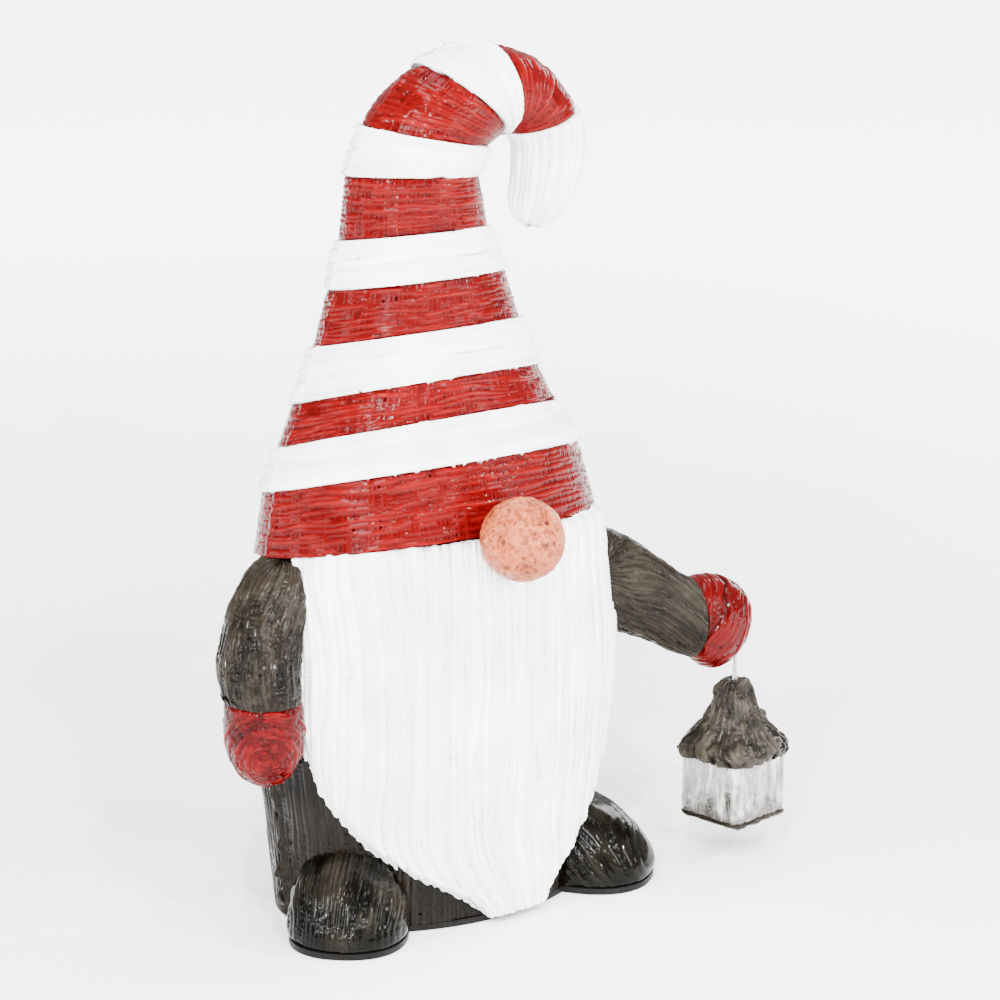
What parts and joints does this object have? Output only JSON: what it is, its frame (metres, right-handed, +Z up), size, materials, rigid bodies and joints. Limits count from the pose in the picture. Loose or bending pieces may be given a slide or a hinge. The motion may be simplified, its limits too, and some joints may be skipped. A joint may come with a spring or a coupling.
{
  "type": "garden gnome",
  "caption": "Garden gnome light figure in strand acrylic: striped curled hat, long beard, boots, and a small lantern hanging from one mitten.",
  "frame": {"origin": "on the body's upright axis at the underside of the base plate", "axes": "+Z up; the figure faces -Y; its left hand, which holds the lantern, is towards +X"},
  "size_m": [0.4126, 0.2211, 0.5714],
  "materials": {
    "hat_red": "glossy red paint on clear strand",
    "hat_white": "satin white paint on clear strand",
    "coat": "thin dark brown-grey tint on clear strand",
    "boots": "dark tint on clear strand",
    "base": "dark gloss",
    "beard": "satin white",
    "nose": "peach, glossy",
    "mittens": "glossy red",
    "lantern_dark": "glossy brown-grey",
    "lantern_clear": "half clear, streaky",
    "lead_clear": "clear flexible jacket",
    "lamp": "clear lens over a warm lamp",
    "box_plastic": "black moulded",
    "slider": "grey moulded",
    "seal": "soft black",
    "steel": "bright",
    "cell_jacket": "printed sleeve, plain",
    "board": "circuit board",
    "anchor": "clear-grey acrylic blocks"
  },
  "bodies": {
    "figure": {"anchor_blocks": "anchor", "base_plate": "base", "base_screws": "steel", "battery_box": "box_plastic", "battery_cells": "cell_jacket", "beard": "beard", "body_shell_back": "coat", "body_shell_front": "coat", "boot_left": "boots", "boot_right": "boots", "contact_plates": "steel", "contact_springs": "steel", "door_hinge_pin": "steel", "door_seal": "seal", "hat_band_01": "hat_red", "hat_band_02": "hat_white", "hat_band_03": "hat_red", "hat_band_04": "hat_white", "hat_band_05": "hat_red", "hat_band_06": "hat_white", "hat_band_07": "hat_red", "hat_band_08": "hat_white", "hat_band_09": "hat_red", "hat_band_10": "hat_white", "hat_band_11": "hat_red", "hat_band_12": "hat_white", "lamp_lead": "lead_clear", "lantern_feed": "lead_clear", "lead_bush": "lead_clear", "lead_clips": "box_plastic", "lead_splice": "box_plastic", "mitten_left": "mittens", "mitten_right": "mittens", "nose": "nose", "sleeve_left": "coat", "sleeve_right": "coat", "string_lamps": "lamp", "timer_board": "board"},
    "battery_door": {"battery_door": "box_plastic"},
    "switch": {"switch_slider": "slider"},
    "lead": {"lantern_lead": "lead_clear"},
    "ferrule": {"lead_ferrule": "lead_clear"},
    "lantern": {"lantern_roof": "lantern_dark", "lantern_walls": "lantern_clear", "lantern_floor": "lantern_dark", "lantern_lamp": "lamp"}
  },
  "joints": [
    {"name": "door_hinge", "type": "hinge", "parent": "figure", "child": "battery_door", "pos_m": [0.03055, 0.042, 0.002], "axis": [0, -1, 0], "range_deg": [0, 100]},
    {"name": "switch_slide", "type": "slide", "parent": "figure", "child": "switch", "axis": [1, 0, 0], "range_m": [0, 0.004]},
    {"name": "lead_swing", "type": "hinge", "parent": "figure", "child": "lead", "pos_m": [0.207, -0.07, 0.1545], "axis": [0, 1, 0], "range_deg": [-15, 15]},
    {"name": "lantern_swing", "type": "hinge", "parent": "lead", "child": "ferrule", "pos_m": [0.207, -0.07, 0.1205], "axis": [1, 0, 0], "range_deg": [-20, 20]},
    {"name": "lantern_twist", "type": "hinge", "parent": "ferrule", "child": "lantern", "pos_m": [0.207, -0.07, 0.1205], "axis": [0, 0, 1], "range_deg": [-90, 90]}
  ]
}
